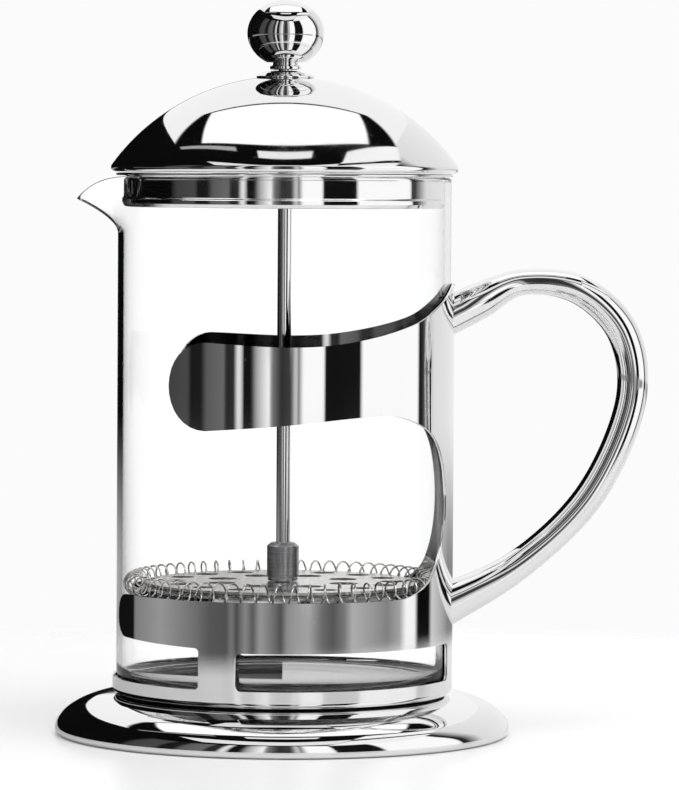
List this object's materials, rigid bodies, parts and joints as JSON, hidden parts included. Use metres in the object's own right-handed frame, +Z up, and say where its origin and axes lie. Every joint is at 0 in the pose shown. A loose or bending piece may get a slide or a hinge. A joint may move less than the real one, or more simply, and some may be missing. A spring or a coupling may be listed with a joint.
{
  "type": "french press",
  "caption": "Polished steel french press: glass beaker with a spout in a cut-away carrier on a saucer base, loop handle, domed lid, ball knob and a spring-edged plunger.",
  "frame": {"origin": "centre of the bounding box, on the table plane under the base's hem", "axes": "+Z up along the press's axis, +X towards the handle, -X towards the spout, +Y away from the side that is seen"},
  "size_m": [0.1744, 0.134, 0.2159],
  "materials": {
    "mirror_steel": "mirror-polished stainless steel",
    "satin_steel": "satin turned steel",
    "spring_steel": "bright pressed steel and spring wire",
    "woven_steel": "woven wire cloth",
    "clear_glass": "clear borosilicate glass",
    "nylon": "moulded white nylon"
  },
  "bodies": {
    "carrier": {"saucer_base": "mirror_steel", "carrier_frame": "mirror_steel", "handle": "mirror_steel"},
    "beaker": {"glass_beaker": "clear_glass"},
    "lid_core": {"lid_ferrule": "mirror_steel", "ferrule_washer": "satin_steel", "ferrule_nut": "satin_steel", "rod_bushing": "nylon"},
    "lid_shell": {"lid_dome": "mirror_steel", "lid_skirt": "mirror_steel"},
    "plunger": {"knob_ball": "mirror_steel", "knob_collar": "mirror_steel", "plunger_rod": "satin_steel", "hub_sleeve": "satin_steel", "spiral_plate": "spring_steel", "filter_screen": "woven_steel", "cross_plate": "spring_steel", "filter_washer": "satin_steel", "filter_screw": "satin_steel", "coil_spring": "spring_steel"}
  },
  "joints": [
    {"name": "beaker_lift", "type": "slide", "parent": "carrier", "child": "beaker", "axis": [0, 0, 1], "range_m": [0, 0.125]},
    {"name": "lid_lift", "type": "slide", "parent": "beaker", "child": "lid_core", "axis": [0, 0, 1], "range_m": [0, 0.135]},
    {"name": "lid_turn", "type": "hinge", "parent": "lid_core", "child": "lid_shell", "pos_m": [-0.0202, 0, 0.165], "axis": [0, 0, 1], "continuous": true},
    {"name": "plunger_slide", "type": "slide", "parent": "lid_core", "child": "plunger", "axis": [0, 0, 1], "range_m": [0, 0.105]}
  ]
}
